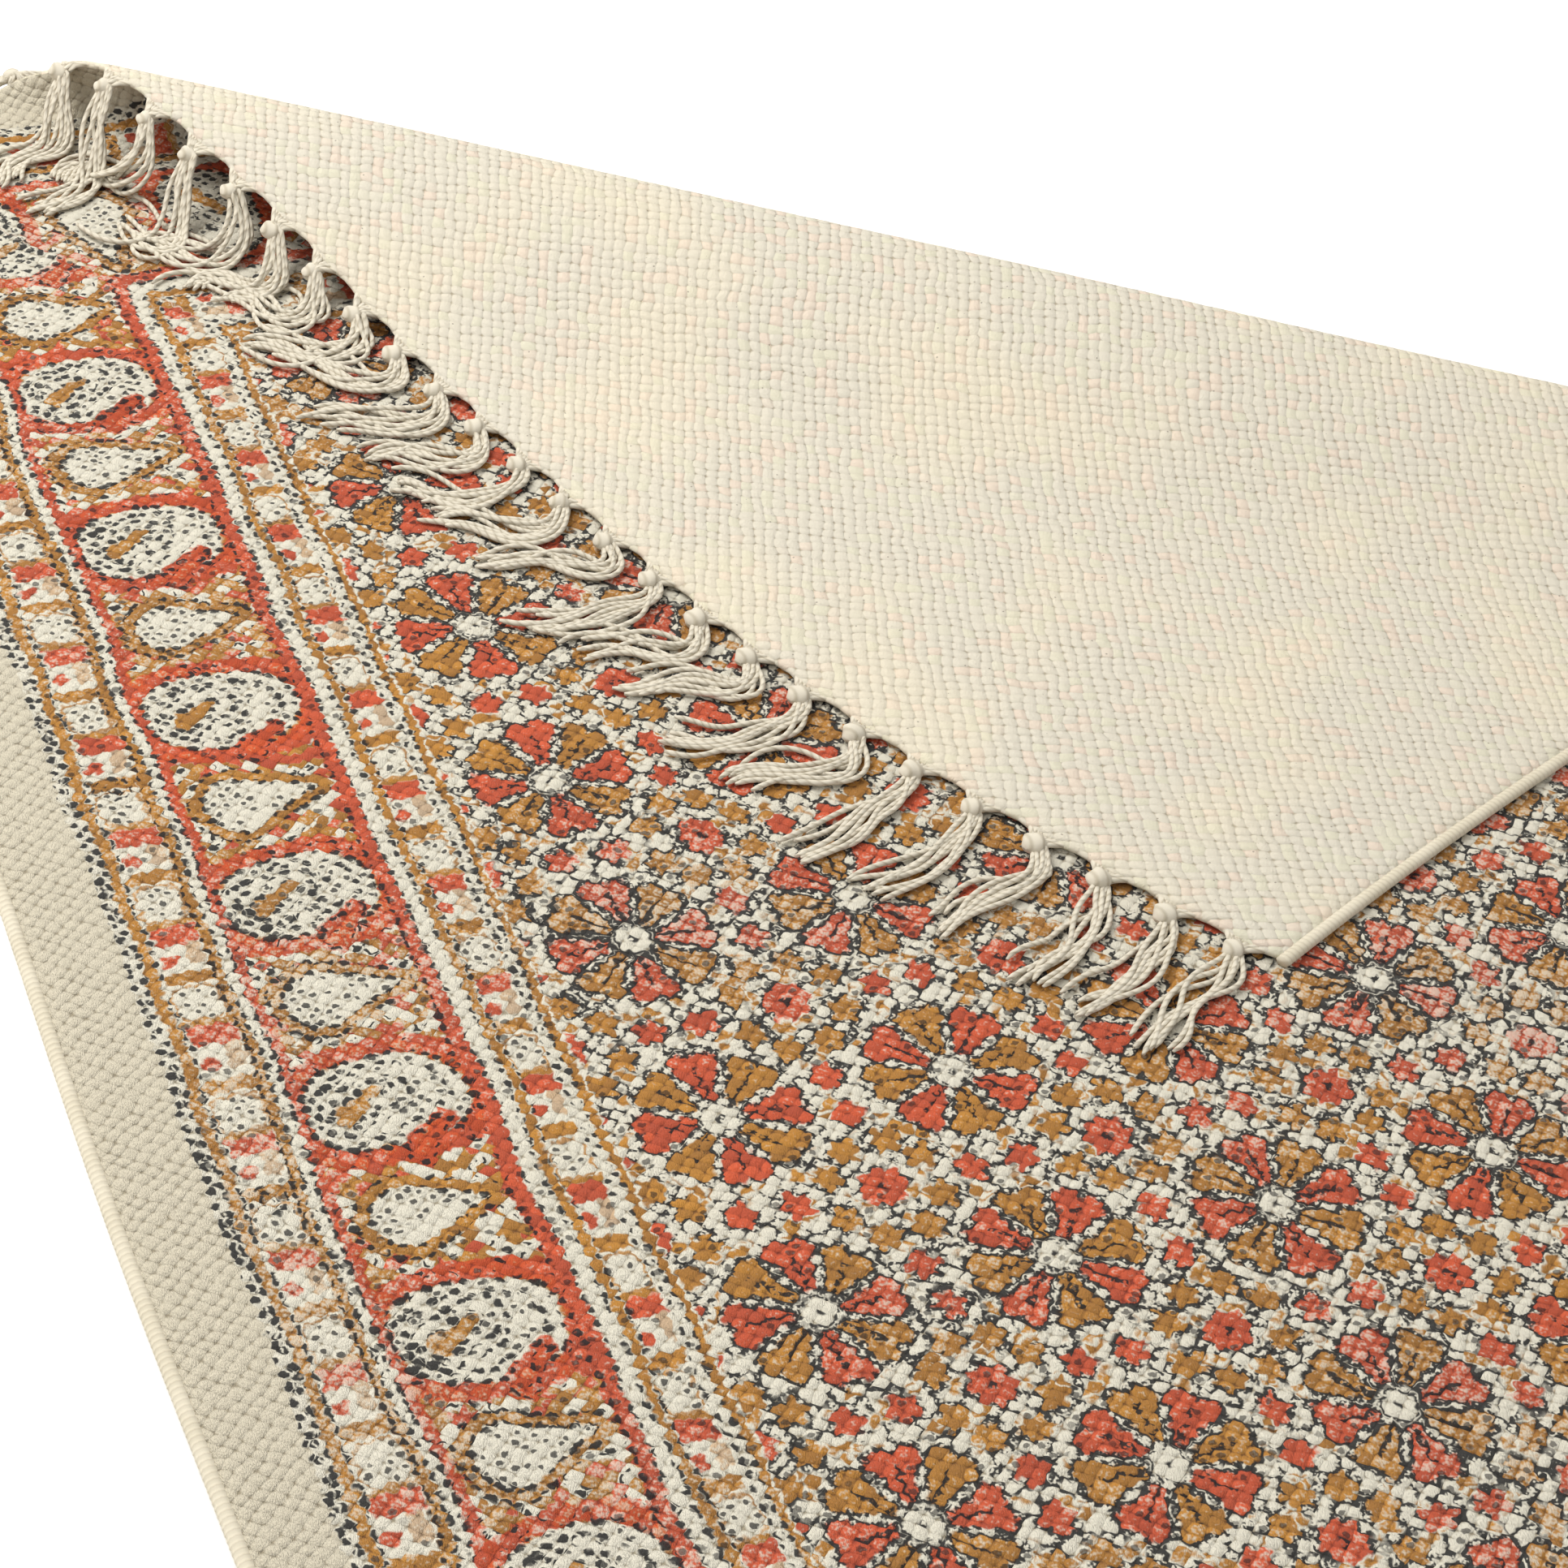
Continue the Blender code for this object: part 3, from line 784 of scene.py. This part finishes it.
out_u, out_v = (
    np.where(places == 0, -RIM_BULGE, np.where(places == end, RIM_BULGE, 0.0))
    for places, end in ((grid_u[rim], WIDTH), (grid_v[rim], LENGTH))
)
rim_u = grid_u[rim] + out_u
rim_v = drawn_v[rim] + out_v
rim_points = swell(fold(rim_u, rim_v, np.zeros(len(rim))))
count = rows * columns
cells = (np.arange(rows - 1)[:, None] * columns + np.arange(columns - 1)).ravel()
top_faces = np.stack([cells, cells + 1, cells + columns + 1, cells + columns], axis=1)
bottom_faces = top_faces[:, ::-1] + count
following = np.roll(np.arange(len(rim)), -1)
rim_ids = 2 * count + np.arange(len(rim))
rim_top = np.stack([rim, rim_ids, rim_ids[following], rim[following]], axis=1)
rim_low = np.stack([rim_ids, rim + count, rim[following] + count, rim_ids[following]], axis=1)
faces = np.concatenate([top_faces, bottom_faces, rim_top, rim_low]).tolist()
points = np.concatenate([upper, lower, rim_points])
woven_rug = add_piece("woven_rug", points, faces, printed_cotton, ["rug"])
woven_rug.data.materials.append(plain_cotton)
backs = np.zeros(len(faces), dtype=np.int32)
backs[len(top_faces):] = 1
woven_rug.data.polygons.foreach_set("material_index", backs)
places = np.zeros((len(points), 3), dtype=np.float32)
places[:, 0] = np.concatenate([grid_u, grid_u, rim_u])
places[:, 1] = np.concatenate([drawn_v, drawn_v, rim_v])
cloth = woven_rug.data.attributes.new("cloth", "FLOAT_VECTOR", "POINT")
cloth.data.foreach_set("vector", places.ravel())


# Each selvedge is a round cord of edge warps that the weft wraps, a little thicker than the cloth.
# It is woven in one with the cloth and follows it through the fold.
CORD_HALF_WIDTH = 0.0030
CORD_HALF_HEIGHT = 0.0025
CORD_SIDES = 8
WRAP_PITCH = 0.0026
RINGS_A_WRAP = 3
WRAP_RISE = 0.00012
# Painted shade in the grooves between the wraps.
WRAP_PAINTED_SHADE = linear(196, 186, 164)
WRAP_RELIEF = 0.00015
# The cord's middle lies this far outside the cloth's edge.
CORD_OUTSET = 0.0016
# Yarn in close view: loose fibres for each turn and each metre, and paler patches along it.
FIBRES_AROUND, FIBRES_SLANT, FIBRES_ALONG = 3.0, 150.0, 900.0
PATCHES_ALONG, PATCH_SHARE = 60.0, 0.25
YARN_PALE = linear(226, 218, 200)
YARN_FIBRES = 0.18


def tube_faces(rings, sides, start):
    """Faces of a closed tube of so many rings, from a first vertex number, with flat ends."""
    ring = np.arange(rings - 1)[:, None] * sides + start
    here = np.arange(sides)[None, :]
    after = (here + 1) % sides
    walls = np.stack([ring + here, ring + after, ring + sides + after, ring + sides + here], axis=-1)
    ends = [list(range(start + sides - 1, start - 1, -1))]
    ends.append([start + (rings - 1) * sides + k for k in range(sides)])
    return walls.reshape(-1, 4).tolist() + ends


def tube_weave(piece, around, along):
    """Keeps each point's place around and along its tube, in turns and metres, as a map."""
    layer = piece.data.uv_layers.new(name="tube")
    loops = np.zeros(len(piece.data.loops), dtype=np.int32)
    piece.data.loops.foreach_get("vertex_index", loops)
    pairs = np.stack([around[loops], along[loops]], axis=1)
    starts = np.zeros(len(piece.data.polygons), dtype=np.int32)
    totals = np.zeros(len(piece.data.polygons), dtype=np.int32)
    piece.data.polygons.foreach_get("loop_start", starts)
    piece.data.polygons.foreach_get("loop_total", totals)
    for start in starts[totals == 4]:
        four = pairs[start:start + 4, 0]
        # A face across the seam counts on past one turn instead of back to its start.
        if four.max() - four.min() > 0.5:
            pairs[start:start + 4, 0] = np.where(four < 0.5, four + 1.0, four)
    layer.data.foreach_set("uv", pairs.astype(np.float32).ravel())


def twisted_yarn(name, colour, painted_groove_shade, turns_a_metre, strands, depth):
    """A cotton yarn or cord material whose plies run round it, with painted shade between them; needs
    the tube map.
    """
    made, shader = principled(name, colour, COTTON_ROUGHNESS)
    tree = made.node_tree
    node = tree.nodes.new("ShaderNodeUVMap")
    node.uv_map = "tube"
    parts = tree.nodes.new("ShaderNodeSeparateXYZ")
    tree.links.new(node.outputs[0], parts.inputs[0])
    around, along = (Reading(tree, parts.outputs[k]) for k in (0, 1))
    phase = (around * float(strands) + along * float(turns_a_metre)) * math.pi
    ply = phase.math("SINE").size()
    fibre = cloudy(around * FIBRES_AROUND + along * FIBRES_SLANT, along * FIBRES_ALONG, 1.0, 1.0)
    patch = cloudy(along * PATCHES_ALONG, around, 1.0)
    # The grooves between the plies take the darker colour as painted shade.
    mixed = blend_colour(tree, ply.above(0.42, 0.4), painted_groove_shade, colour)
    mixed = blend_colour(tree, patch.above(0.1, 0.4) * PATCH_SHARE, mixed, YARN_PALE)
    tree.links.new(mixed, shader.inputs["Base Color"])
    relief(tree, shader, ply + fibre * YARN_FIBRES, depth)
    return made


def selvedge_cord(name, edge_u, outward):
    """The cord along one long side of the cloth; outward is -1 on the left and 1 on the right."""
    rings = int(LENGTH / WRAP_PITCH) * RINGS_A_WRAP
    v = np.linspace(0.0, LENGTH, rings)
    u = np.full(rings, edge_u)
    centres = middle(u, v)
    across, _, face = cloth_axes(u, v)
    rise = WRAP_RISE * np.cos(2 * math.pi * np.arange(rings) / RINGS_A_WRAP)
    turns = np.arange(CORD_SIDES) / CORD_SIDES
    vertices = np.zeros((rings, CORD_SIDES, 3))
    for k, share in enumerate(turns):
        angle = 2 * math.pi * share
        wide = (CORD_HALF_WIDTH + rise)[:, None] * math.cos(angle) * across
        high = (CORD_HALF_HEIGHT + rise)[:, None] * math.sin(angle) * face
        vertices[:, k] = centres + wide + high + across * outward * CORD_OUTSET
    vertices[..., 2] = np.maximum(vertices[..., 2], 0.0)
    faces = tube_faces(rings, CORD_SIDES, 0)
    cord = add_piece(name, swell(vertices).reshape(-1, 3), faces, wrapped_edge)
    tube_weave(cord, np.tile(turns, rings), np.repeat(v, CORD_SIDES))
    return cord


wrapped_edge = twisted_yarn("wrapped_edge", FACE, WRAP_PAINTED_SHADE, 1.0 / WRAP_PITCH, 1, WRAP_RELIEF)
left_cord = selvedge_cord("selvedge_left", 0.0, -1)
right_cord = selvedge_cord("selvedge_right", WIDTH, 1)


# The warps of each end are knotted in groups of ten or so into tassels, 30 mm apart. Each yarn comes
# out of the cloth's end, passes through an overhand knot and hangs free, then lies where it falls.
YARNS = 9
YARN_RADIUS = 0.00116
YARN_SIDES = 6
YARN_STEP = 0.0028
TIP_THINNING = 0.55
ROOT_DEPTH = 0.003
KNOT_PLACE = 0.0085
TASSEL_LENGTH = 0.0755
LENGTH_CHANCE = 0.006
ROOT_SPREAD = 0.0100
KNOT_SPREAD = 0.0024
BUNDLE_SPREAD = 0.0068
# A yarn gathers in from the cloth's end, then turns from straight out to its tassel's bearing.
GATHER_FROM = -0.002
HEADING_FROM, HEADING_OVER = 0.002, 0.010
# The yarns lie in loose layers on the floor or the rug, and drop to it over a length from the end.
FACE_CLEARANCE = 0.0003
LAYER_STEP, LAYER_FLATTENING = 0.0013, 0.55
DROP_BASE = 0.014
DROP_PER_HEIGHT = 0.9
KNOT_STIR, KNOT_STIR_REACH = 0.0018, 0.005
# How the tassels lie: tassel, bearing at the knot and at the tip in degrees, swirl in degrees.
FLAP_LAY = (
    (3, 96, 120, 60),
    (4, 150, 205, 30),
    (5, 250, 226, 20),
    (6, 240, 222, 24),
    (7, 220, 200, 56),
    (8, 262, 180, 60),
    (10, 266, 162, 50),
    (13, 264, 156, 32),
    (18, 257, 158, 24),
    (22, 250, 172, 16),
    (25, 244, 190, 13),
    (29, 238, 205, 9),
)
FLAT_SWIRL = 26.0
TURN_BY = 2.5
BUNDLE_TWIST = 2.6
YARN_TURN = 2.4
FAN = math.radians(9)
# Chances of a whole tassel, in degrees, as a share of the swirl, and in waves of its length.
FLAT_CHANCE, KNOT_CHANCE, TIP_CHANCE = 12, 7, 8
SWIRL_CHANCE = (0.7, 1.4)
WAVES_CHANCE = (0.8, 1.5)
PHASE_CHANCE = 0.16
# Chances of a single yarn: its place in the row, its turn, its swing and its own waver in degrees.
PLACE_CHANCE = 0.1
TURN_CHANCE = 0.3
SWING_CHANCE = 0.04
OWN_CHANCE, OWN_WAVES = 11, (0.8, 2.2)
# The plies of each next yarn start this much further along.
PLY_SHIFT = 0.013


def lay_of(tassel, side, draw):
    """Bearings at the knot and tip, and swirl in radians, of one tassel, and its waves and phase."""
    if side < 0 or tassel < FLAP_LAY[0][0]:
        bearings = [90.0 * side + draw.normal(0, FLAT_CHANCE) for _ in range(2)]
        row = [*bearings, FLAT_SWIRL]
    else:
        stations = [entry[0] for entry in FLAP_LAY]
        row = [np.interp(tassel, stations, [entry[k] for entry in FLAP_LAY]) for k in (1, 2, 3)]
        row[0] += draw.normal(0, KNOT_CHANCE)
        row[1] += draw.normal(0, TIP_CHANCE)
        row[2] *= draw.uniform(*SWIRL_CHANCE)
    angles = [math.radians(value) for value in row]
    return angles + [draw.uniform(*WAVES_CHANCE), draw.normal(0.0, PHASE_CHANCE)]


def ease(value):
    """A smooth change from 0 to 1 as the value goes from 0 to 1."""
    value = np.clip(value, 0.0, 1.0)
    return value * value * (3 - 2 * value)


def ground_under(point):
    """Height of what a yarn lies on: the rug's face inside its outline, else the floor."""
    inside = (np.abs(point[..., 0]) < WIDTH / 2) & (np.abs(point[..., 1]) < LENGTH / 2)
    return np.where(inside, THICKNESS + FACE_CLEARANCE, 0.0)


def end_of_cloth(tassel, side):
    """Where a tassel starts, on the flat cloth and as it lies, with its directions across and out."""
    u = np.array([(tassel + 0.5) * PITCH])
    v = np.array([LENGTH if side > 0 else 0.0])
    across, along, _ = (axis[0] for axis in cloth_axes(u, v))
    return u, v, middle(u, v)[0], across, along * side


def yarn_line(tassel, side, yarn, lay, draw):
    """Centre points of one yarn of a tassel, from inside the cloth's end to its tip."""
    start_bearing, end_bearing, swirl, waves, phase = lay
    u, v, root, across, outward = end_of_cloth(tassel, side)
    length = TASSEL_LENGTH + draw.uniform(-LENGTH_CHANCE, LENGTH_CHANCE)
    steps = int(length / YARN_STEP)
    s = np.linspace(-ROOT_DEPTH, length, steps)
    free = np.clip((s - KNOT_PLACE) / (length - KNOT_PLACE), 0.0, 1.0)
    place = (yarn + 0.5) / YARNS * 2 - 1 + draw.uniform(-PLACE_CHANCE, PLACE_CHANCE)

    # Its bearing turns from the knot's to the tip's, with the tassel's swing and a waver of its own.
    turn_by = TURN_BY + draw.normal(0, TURN_CHANCE)
    bearing = start_bearing + (end_bearing - start_bearing) * ease(free * turn_by)
    in_swing = free * waves + phase + draw.normal(0, SWING_CHANCE)
    swing = swirl * np.sin(2 * math.pi * in_swing + place * 0.4)
    own = math.radians(draw.normal(0, OWN_CHANCE))
    own = own * np.sin(2 * math.pi * free * draw.uniform(*OWN_WAVES))
    spread = -place * FAN * side * np.exp(-free * 1.5)
    bearing = bearing + swing * np.minimum(free * 4, 1.0) + own + spread
    flat_out = unit(np.array([outward[0], outward[1], 0.0]))
    blend = ease((s - HEADING_FROM) / HEADING_OVER)[:, None]
    heading = np.stack([np.cos(bearing), np.sin(bearing), np.zeros(steps)], axis=1)
    heading = unit(flat_out * (1 - blend) + heading * blend)
    sideways = np.stack([-heading[:, 1], heading[:, 0], np.zeros(steps)], axis=1)
    gaps = np.diff(s, prepend=s[0])[:, None]
    line = root + flat_out * s[0] + np.cumsum(heading * gaps, axis=0)

    # Its place beside the others: in a row up to the knot, then in a bundle that twists and opens.
    height_share = math.sqrt((yarn + 0.5) / YARNS)
    gather = KNOT_SPREAD + (BUNDLE_SPREAD - KNOT_SPREAD) * ease(free * 1.8)
    roll = YARN_TURN * yarn + BUNDLE_TWIST * free
    bundle = height_share * np.cos(roll)
    share = np.where(s < KNOT_PLACE, place, place + (bundle - place) * ease(free * 3.0))
    turn_side = np.where(s < KNOT_PLACE, 1.0, 0.0)[:, None]
    aside = across * turn_side * side + (-sideways) * (1 - turn_side)
    line = line + aside * (gather * share)[:, None]

    # Its height: from the cloth's end down to its layer on what lies below.
    drop = DROP_BASE + DROP_PER_HEIGHT * max(root[2], 0.0)
    fall = 1 - ease(s / drop)
    layer = (1 + height_share * np.sin(roll)) * LAYER_STEP * (1 - free * LAYER_FLATTENING)
    seat = ground_under(line) + YARN_RADIUS + layer
    in_knot = np.exp(-((s - KNOT_PLACE) / KNOT_STIR_REACH) ** 2) * draw.uniform(-KNOT_STIR, KNOT_STIR)
    line[:, 2] = np.maximum(seat + (root[2] - seat) * fall + in_knot, seat)

    own_u = u + place * ROOT_SPREAD
    own_root = middle(own_u, v + end_pull(own_u, v))[0]
    gathered = ease((s - GATHER_FROM) / KNOT_PLACE)[:, None]
    line = (own_root + outward * s[:, None]) * (1 - gathered) + line * gathered
    return s, line


def swept_yarn(line):
    """Rings of a yarn around its centre points, thinning at the tip."""
    tangent = unit(np.gradient(line, axis=0))
    upward = np.array([0.0, 0.0, 1.0]) - tangent * tangent[:, 2:3]
    upward = unit(upward + 1.0e-6)
    sideways = unit(np.cross(tangent, upward))
    rings = np.zeros((len(line), YARN_SIDES, 3))
    size = np.full(len(line), YARN_RADIUS)
    size[-1] *= TIP_THINNING
    for k in range(YARN_SIDES):
        angle = 2 * math.pi * k / YARN_SIDES
        rings[:, k] = line + (sideways * math.cos(angle) + upward * math.sin(angle)) * size[:, None]
    return rings


# The knot: half sizes out, aside and up, and the grooves between the turns of its yarns.
KNOT_RINGS = 10
KNOT_SIDES = 14
KNOT_HALF = (0.0048, 0.0047, 0.0038)
KNOT_MIDDLE = 0.92
KNOT_RAISED = 0.9
KNOT_WRAPS, KNOT_SLANT, KNOT_GROOVE = 3, 3.5, 0.10
LEAN_CHANCE = 0.2
KNOT_SIZES = (0.92, 1.1)
# Length of yarn from a knot's middle to its end, for the plies on it.
KNOT_PLIES = 0.004


def knot_points(tassel, side, draw):
    """Points of the overhand knot: a round lump with the turns of its yarns around it."""
    _, _, root, across, outward = end_of_cloth(tassel, side)
    level = unit(np.array([outward[0], outward[1], 0.0]))
    centre = root + level * KNOT_PLACE * KNOT_MIDDLE
    low = ground_under(centre)
    fall = 1 - ease(KNOT_PLACE / (DROP_BASE + DROP_PER_HEIGHT * root[2]))
    hanging = low + KNOT_HALF[2] * KNOT_RAISED + (root[2] - low - KNOT_HALF[2]) * fall
    centre[2] = max(hanging, low + KNOT_HALF[2])
    lean = draw.normal(0, LEAN_CHANCE)
    start = draw.uniform(0, 2 * math.pi)
    size = draw.uniform(*KNOT_SIZES)
    heading = unit(level + across * lean)
    upward = np.array([0.0, 0.0, 1.0])
    wide = unit(np.cross(upward, heading))
    points, turns = [], []
    for ring in range(KNOT_RINGS):
        polar = math.pi * (ring + 0.5) / KNOT_RINGS
        for k in range(KNOT_SIDES):
            angle = 2 * math.pi * k / KNOT_SIDES
            slant = KNOT_SLANT * math.cos(polar)
            groove = (1 + KNOT_GROOVE * math.cos(KNOT_WRAPS * angle + slant + start)) * size
            points.append(
                centre
                + heading * math.cos(polar) * KNOT_HALF[0] * size
                + wide * math.sin(polar) * math.cos(angle) * KNOT_HALF[1] * groove
                + upward * math.sin(polar) * math.sin(angle) * KNOT_HALF[2] * groove
            )
            turns.append((k / KNOT_SIDES, KNOT_PLIES * math.cos(polar)))
    return points, turns


def add_fringe(name, first, last, side, replaced, seed):
    """One piece with the tassels from first to last of an end."""
    draw = np.random.default_rng(seed)
    points, faces, around, along = [], [], [], []
    total = 0
    for tassel in range(first, last + 1):
        lay = lay_of(tassel, side, draw)
        for yarn in range(YARNS):
            s, line = yarn_line(tassel, side, yarn, lay, draw)
            points.append(swept_yarn(line).reshape(-1, 3))
            faces += tube_faces(len(line), YARN_SIDES, total)
            around.append(np.tile(np.arange(YARN_SIDES) / YARN_SIDES, len(line)))
            along.append(np.repeat(s + yarn * PLY_SHIFT, YARN_SIDES))
            total += len(line) * YARN_SIDES
        lump, turns = knot_points(tassel, side, draw)
        points.append(np.array(lump))
        faces += tube_faces(KNOT_RINGS, KNOT_SIDES, total)
        around.append(np.array([pair[0] for pair in turns]))
        along.append(np.array([pair[1] for pair in turns]))
        total += len(lump)
    piece = add_piece(name, swell(np.concatenate(points)), faces, fringe_yarn, replaced)
    tube_weave(piece, np.concatenate(around), np.concatenate(along))
    return piece


YARN_COLOUR = linear(208, 200, 182)
# Painted shade in the grooves between the plies.
YARN_PAINTED_SHADE = linear(178, 168, 147)
YARN_TURNS, YARN_STRANDS, YARN_RELIEF = 240.0, 2, 0.00022
fringe_yarn = twisted_yarn("fringe_yarn", YARN_COLOUR, YARN_PAINTED_SHADE, YARN_TURNS, YARN_STRANDS, YARN_RELIEF)
FOLD_NODES = ["fringe_fold_low", "fringe_fold_top", "fringe_fold_back"]
FLAP_NODES = ["fringe_flap_high", "fringe_flap_mid", "fringe_flap_low"]
tassels_far = add_fringe("tassels_far", 0, 2, 1, ["fringe_far"], 11)
tassels_fold = add_fringe("tassels_fold", 3, 6, 1, FOLD_NODES, 12)
tassels_flap = add_fringe("tassels_flap", 7, 29, 1, FLAP_NODES, 13)
tassels_near = add_fringe("tassels_near", 0, 29, -1, ["fringe_near"], 14)
